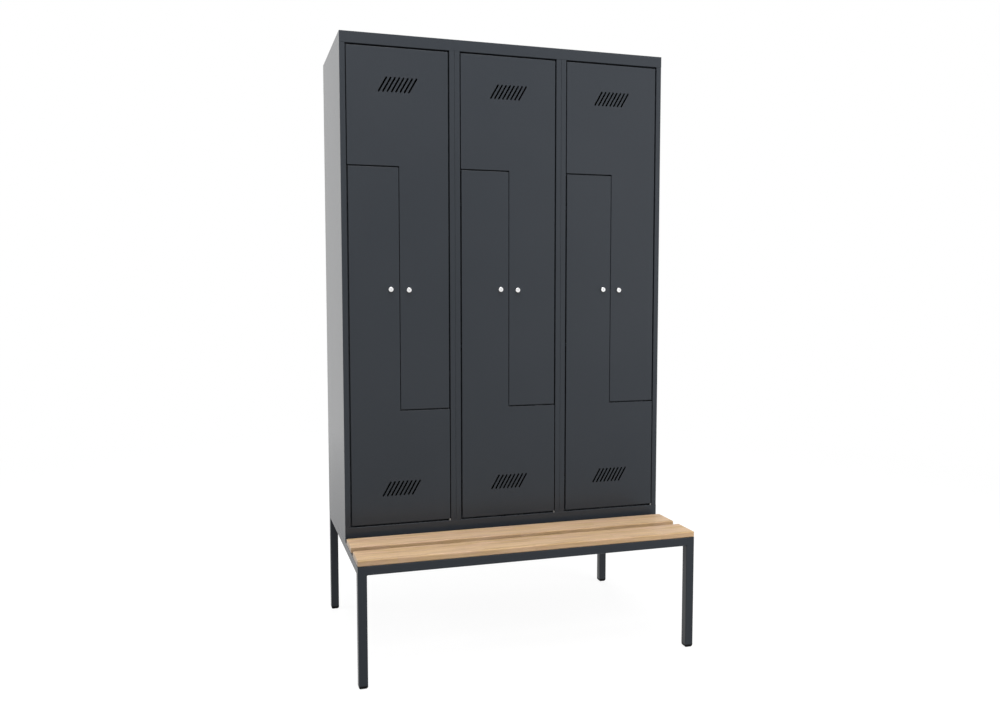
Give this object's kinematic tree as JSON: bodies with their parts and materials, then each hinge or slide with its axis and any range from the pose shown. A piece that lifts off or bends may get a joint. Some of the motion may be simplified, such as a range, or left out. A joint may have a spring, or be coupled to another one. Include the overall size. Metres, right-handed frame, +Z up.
{
  "type": "z-locker with bench",
  "caption": "Steel cloakroom locker with interlocking L-shaped doors in pairs, on a square-tube frame that reaches forward under a slatted wooden bench.",
  "frame": {"origin": "on the floor, below the middle of the whole footprint of locker and bench", "axes": "+X to the right seen from the front, -Y out of the doors and the bench, +Z up"},
  "size_m": [1.2, 0.8, 2.156],
  "materials": {
    "powder_coat": "fine matt powder coat, anthracite grey",
    "bench_wood": "clear-lacquered light beech",
    "lock_nickel": "bright nickel plate",
    "zinc_steel": "zinc-plated steel",
    "black_plastic": "moulded black plastic",
    "grey_plastic": "moulded light grey plastic"
  },
  "bodies": {
    "carcass": {"leg_front_left": "powder_coat", "leg_front_right": "powder_coat", "leg_rear_left": "powder_coat", "leg_rear_right": "powder_coat", "front_rail": "powder_coat", "middle_rail": "powder_coat", "rear_rail": "powder_coat", "side_rail_left": "powder_coat", "side_rail_right": "powder_coat", "slat_bearer": "powder_coat", "foot_plugs": "black_plastic", "front_slat": "bench_wood", "rear_slat": "bench_wood", "slat_screws": "zinc_steel", "roof_panel": "powder_coat", "floor_panel": "powder_coat", "back_panel": "powder_coat", "side_panel_1_left": "powder_coat", "side_panel_1_right": "powder_coat", "side_panel_2_left": "powder_coat", "side_panel_2_right": "powder_coat", "side_panel_3_left": "powder_coat", "side_panel_3_right": "powder_coat", "z_divider_1": "powder_coat", "z_divider_2": "powder_coat", "z_divider_3": "powder_coat", "hinge_arms": "powder_coat", "coat_hooks": "zinc_steel", "door_glides": "grey_plastic", "body_screws": "zinc_steel"},
    "door_lower_1": {"door_lower_1": "powder_coat", "hinge_brackets_lower_1": "powder_coat", "lock_housing_lower_1": "lock_nickel"},
    "lock_lower_1": {"lock_plug_lower_1": "lock_nickel", "lock_cam_lower_1": "zinc_steel"},
    "door_upper_1": {"door_upper_1": "powder_coat", "hinge_brackets_upper_1": "powder_coat", "lock_housing_upper_1": "lock_nickel"},
    "lock_upper_1": {"lock_plug_upper_1": "lock_nickel", "lock_cam_upper_1": "zinc_steel"},
    "door_lower_2": {"door_lower_2": "powder_coat", "hinge_brackets_lower_2": "powder_coat", "lock_housing_lower_2": "lock_nickel"},
    "lock_lower_2": {"lock_plug_lower_2": "lock_nickel", "lock_cam_lower_2": "zinc_steel"},
    "door_upper_2": {"door_upper_2": "powder_coat", "hinge_brackets_upper_2": "powder_coat", "lock_housing_upper_2": "lock_nickel"},
    "lock_upper_2": {"lock_plug_upper_2": "lock_nickel", "lock_cam_upper_2": "zinc_steel"},
    "door_lower_3": {"door_lower_3": "powder_coat", "hinge_brackets_lower_3": "powder_coat", "lock_housing_lower_3": "lock_nickel"},
    "lock_lower_3": {"lock_plug_lower_3": "lock_nickel", "lock_cam_lower_3": "zinc_steel"},
    "door_upper_3": {"door_upper_3": "powder_coat", "hinge_brackets_upper_3": "powder_coat", "lock_housing_upper_3": "lock_nickel"},
    "lock_upper_3": {"lock_plug_upper_3": "lock_nickel", "lock_cam_upper_3": "zinc_steel"}
  },
  "joints": [
    {"name": "door_lower_1_hinge", "type": "hinge", "parent": "carcass", "child": "door_lower_1", "pos_m": [-0.57, -0.094, 1.285], "axis": [0, 0, -1], "range_deg": [0, 90]},
    {"name": "lock_lower_1_turn", "type": "hinge", "parent": "door_lower_1", "child": "lock_lower_1", "pos_m": [-0.432, -0.1, 1.286], "axis": [0, -1, 0], "range_deg": [0, 90]},
    {"name": "door_upper_1_hinge", "type": "hinge", "parent": "carcass", "child": "door_upper_1", "pos_m": [-0.23, -0.094, 1.285], "axis": [0, 0, 1], "range_deg": [0, 90]},
    {"name": "lock_upper_1_turn", "type": "hinge", "parent": "door_upper_1", "child": "lock_upper_1", "pos_m": [-0.368, -0.1, 1.284], "axis": [0, -1, 0], "range_deg": [0, 90]},
    {"name": "door_lower_2_hinge", "type": "hinge", "parent": "carcass", "child": "door_lower_2", "pos_m": [-0.17, -0.094, 1.285], "axis": [0, 0, -1], "range_deg": [0, 90]},
    {"name": "lock_lower_2_turn", "type": "hinge", "parent": "door_lower_2", "child": "lock_lower_2", "pos_m": [-0.032, -0.1, 1.286], "axis": [0, -1, 0], "range_deg": [0, 90]},
    {"name": "door_upper_2_hinge", "type": "hinge", "parent": "carcass", "child": "door_upper_2", "pos_m": [0.17, -0.094, 1.285], "axis": [0, 0, 1], "range_deg": [0, 90]},
    {"name": "lock_upper_2_turn", "type": "hinge", "parent": "door_upper_2", "child": "lock_upper_2", "pos_m": [0.032, -0.1, 1.284], "axis": [0, -1, 0], "range_deg": [0, 90]},
    {"name": "door_lower_3_hinge", "type": "hinge", "parent": "carcass", "child": "door_lower_3", "pos_m": [0.23, -0.094, 1.285], "axis": [0, 0, -1], "range_deg": [0, 90]},
    {"name": "lock_lower_3_turn", "type": "hinge", "parent": "door_lower_3", "child": "lock_lower_3", "pos_m": [0.368, -0.1, 1.286], "axis": [0, -1, 0], "range_deg": [0, 90]},
    {"name": "door_upper_3_hinge", "type": "hinge", "parent": "carcass", "child": "door_upper_3", "pos_m": [0.57, -0.094, 1.285], "axis": [0, 0, 1], "range_deg": [0, 90]},
    {"name": "lock_upper_3_turn", "type": "hinge", "parent": "door_upper_3", "child": "lock_upper_3", "pos_m": [0.432, -0.1, 1.284], "axis": [0, -1, 0], "range_deg": [0, 90]}
  ]
}
